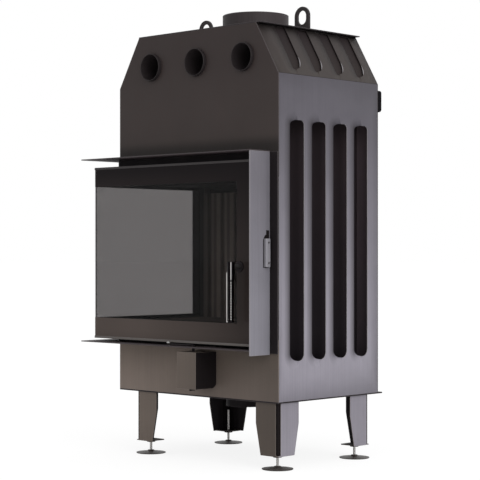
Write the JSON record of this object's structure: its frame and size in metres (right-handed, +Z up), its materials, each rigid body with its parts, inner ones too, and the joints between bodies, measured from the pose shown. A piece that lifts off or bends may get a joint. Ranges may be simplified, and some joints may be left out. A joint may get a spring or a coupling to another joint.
{
  "type": "corner fireplace insert",
  "caption": "Wood-burning fireplace insert with an L-shaped corner glass door, convection casing, flue collar, hot-air outlets and adjustable feet.",
  "frame": {"origin": "middle of the overall footprint on the floor", "axes": "+Z up, -Y towards the user in front of the door, +X to the viewer's right"},
  "size_m": [0.742, 0.5534, 1.316],
  "materials": {
    "casing_black": "matt heat-resistant paint on steel sheet",
    "casing_brown": "bare mill-finish steel sheet, warm grey",
    "casing_grey": "bare mill-finish steel sheet, cool grey",
    "lining": "pressed vermiculite board",
    "glass": "clear glass-ceramic, 4 mm",
    "gasket": "braided glass rope, flat",
    "polished": "polished stainless steel",
    "zinc": "zinc-plated steel"
  },
  "bodies": {
    "casing": {"base_plate": "casing_black", "lower_front_panel": "casing_brown", "upper_front_panel": "casing_black", "right_side_panel": "casing_grey", "left_side_panel": "casing_brown", "rear_panel": "casing_black", "right_chamfer_panel": "casing_brown", "left_chamfer_panel": "casing_brown", "top_plate": "casing_black", "flue_collar": "casing_black", "lifting_eye_left": "casing_black", "lifting_eye_right": "casing_black", "hot_air_collar_left": "casing_black", "hot_air_collar_middle": "casing_black", "hot_air_collar_right": "casing_black", "rear_block": "casing_black", "air_intake_spigot": "casing_black", "air_duct": "casing_black", "firebox_floor": "casing_black", "firebox_right_wall": "casing_black", "firebox_rear_wall": "casing_black", "firebox_hood": "casing_black", "firebox_roof": "casing_black", "firebox_cradle": "casing_black", "lining_back": "lining", "lining_right": "lining", "lining_floor": "lining", "baffle": "lining", "front_frame": "casing_black", "top_ledge": "casing_black", "bottom_ledge": "casing_black", "cheek_plate": "casing_grey", "latch_keeper": "casing_grey", "hinge_pin_upper": "zinc", "hinge_pin_lower": "zinc", "air_box": "casing_brown", "leg_front_right": "casing_brown", "leg_front_left": "casing_brown", "leg_rear_right": "casing_grey", "leg_rear_left": "casing_brown"},
    "door": {"door_frame": "casing_black", "glass_front": "glass", "glass_side": "glass", "door_gasket": "gasket", "door_trim": "polished", "handle_rosette": "casing_black"},
    "handle": {"handle_hub": "casing_black", "handle_grip": "polished", "handle_coil": "polished", "handle_bar": "polished", "latch_cam": "zinc"},
    "air_lever": {"air_lever": "casing_black", "air_lever_knob": "polished", "air_valve": "zinc"},
    "foot_front_right": {"foot_front_right": "casing_black"},
    "foot_front_left": {"foot_front_left": "casing_black"},
    "foot_rear_right": {"foot_rear_right": "casing_black"},
    "foot_rear_left": {"foot_rear_left": "casing_black"}
  },
  "joints": [
    {"name": "door_hinge", "type": "hinge", "parent": "casing", "child": "door", "pos_m": [-0.3247, 0.20675, 0.3435], "axis": [0, 0, -1], "range_deg": [0, 85]},
    {"name": "handle_turn", "type": "hinge", "parent": "door", "child": "handle", "pos_m": [0.266, -0.23825, 0.562], "axis": [0, 1, 0], "range_deg": [0, 75]},
    {"name": "air_lever_turn", "type": "hinge", "parent": "casing", "child": "air_lever", "pos_m": [0.07512, -0.22325, 0.337], "axis": [0, 0, 1], "range_deg": [0, 60]},
    {"name": "foot_front_right_screw", "type": "slide", "parent": "casing", "child": "foot_front_right", "axis": [0, 0, -1], "range_m": [0, 0.02]},
    {"name": "foot_front_left_screw", "type": "slide", "parent": "casing", "child": "foot_front_left", "axis": [0, 0, -1], "range_m": [0, 0.02]},
    {"name": "foot_rear_right_screw", "type": "slide", "parent": "casing", "child": "foot_rear_right", "axis": [0, 0, -1], "range_m": [0, 0.02]},
    {"name": "foot_rear_left_screw", "type": "slide", "parent": "casing", "child": "foot_rear_left", "axis": [0, 0, -1], "range_m": [0, 0.02]}
  ]
}
